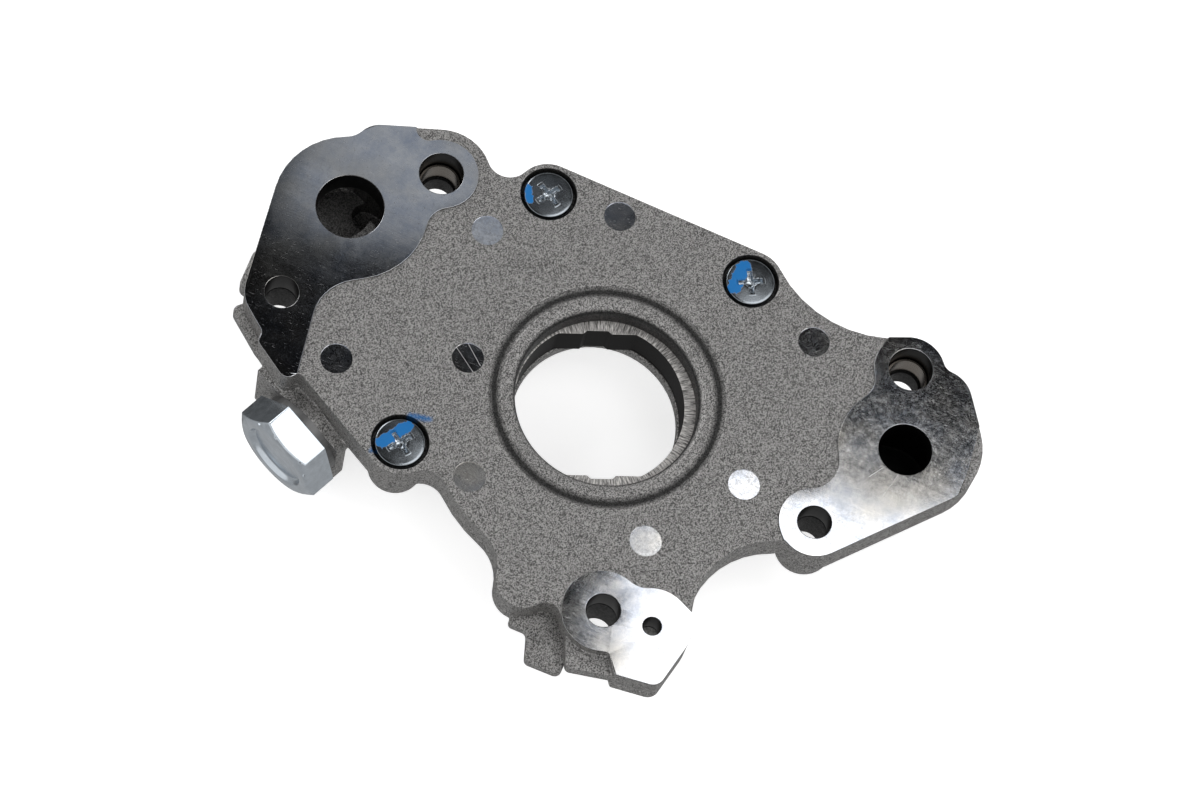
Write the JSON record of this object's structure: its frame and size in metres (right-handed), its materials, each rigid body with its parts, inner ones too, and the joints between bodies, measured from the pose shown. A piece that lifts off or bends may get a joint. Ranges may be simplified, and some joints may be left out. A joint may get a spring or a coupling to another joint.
{
  "type": "gerotor oil pump",
  "caption": "Crank-driven gerotor oil pump: a flat die-cast body with a pad-faced cover, meshing ring rotors round a shaft hole and a hexagon-plugged relief valve.",
  "frame": {"origin": "on the shaft axis, in the machined face of the body's hub", "axes": "+Z out of the cover, towards the engine block that the pads meet; +X along the line of the two dowel holes, towards the suction port"},
  "size_m": [0.1891, 0.1229, 0.0309],
  "materials": {
    "cast_body": "shot-blasted die casting, warm grey",
    "cast_cover": "shot-blasted die casting with machined pads",
    "sintered_rotor": "dark sintered iron with ground end faces",
    "ground_steel": "ground and polished",
    "spring_steel": "drawn wire",
    "zinc_plating": "bright zinc plating",
    "soft_aluminium": "plain soft aluminium"
  },
  "bodies": {
    "housing": {"pump_body": "cast_body", "pump_cover": "cast_cover", "relief_plug": "zinc_plating", "plug_washer": "soft_aluminium", "relief_spring": "spring_steel", "cover_screw_1": "zinc_plating", "cover_screw_2": "zinc_plating", "cover_screw_3": "zinc_plating", "ring_dowel_left": "ground_steel", "ring_dowel_right": "ground_steel"},
    "outer_gear": {"outer_rotor": "sintered_rotor"},
    "inner_gear": {"inner_rotor": "sintered_rotor"},
    "valve": {"relief_piston": "ground_steel"}
  },
  "joints": [
    {"name": "outer_rotor_spin", "type": "hinge", "parent": "housing", "child": "outer_gear", "pos_m": [0, 0.003, 0.0088], "axis": [0, 0, 1], "continuous": true},
    {"name": "inner_rotor_spin", "type": "hinge", "parent": "housing", "child": "inner_gear", "pos_m": [0, 0, 0.0088], "axis": [0, 0, 1], "continuous": true},
    {"name": "relief_slide", "type": "slide", "parent": "housing", "child": "valve", "axis": [-0.4019, -0.9157, 0], "range_m": [0, 0.008], "stiffness_N_per_m": 3000, "deforming": ["relief_spring"]}
  ],
  "couplings": [
    {"joint": "inner_rotor_spin", "follows": "outer_rotor_spin", "ratio": 1.1111}
  ]
}
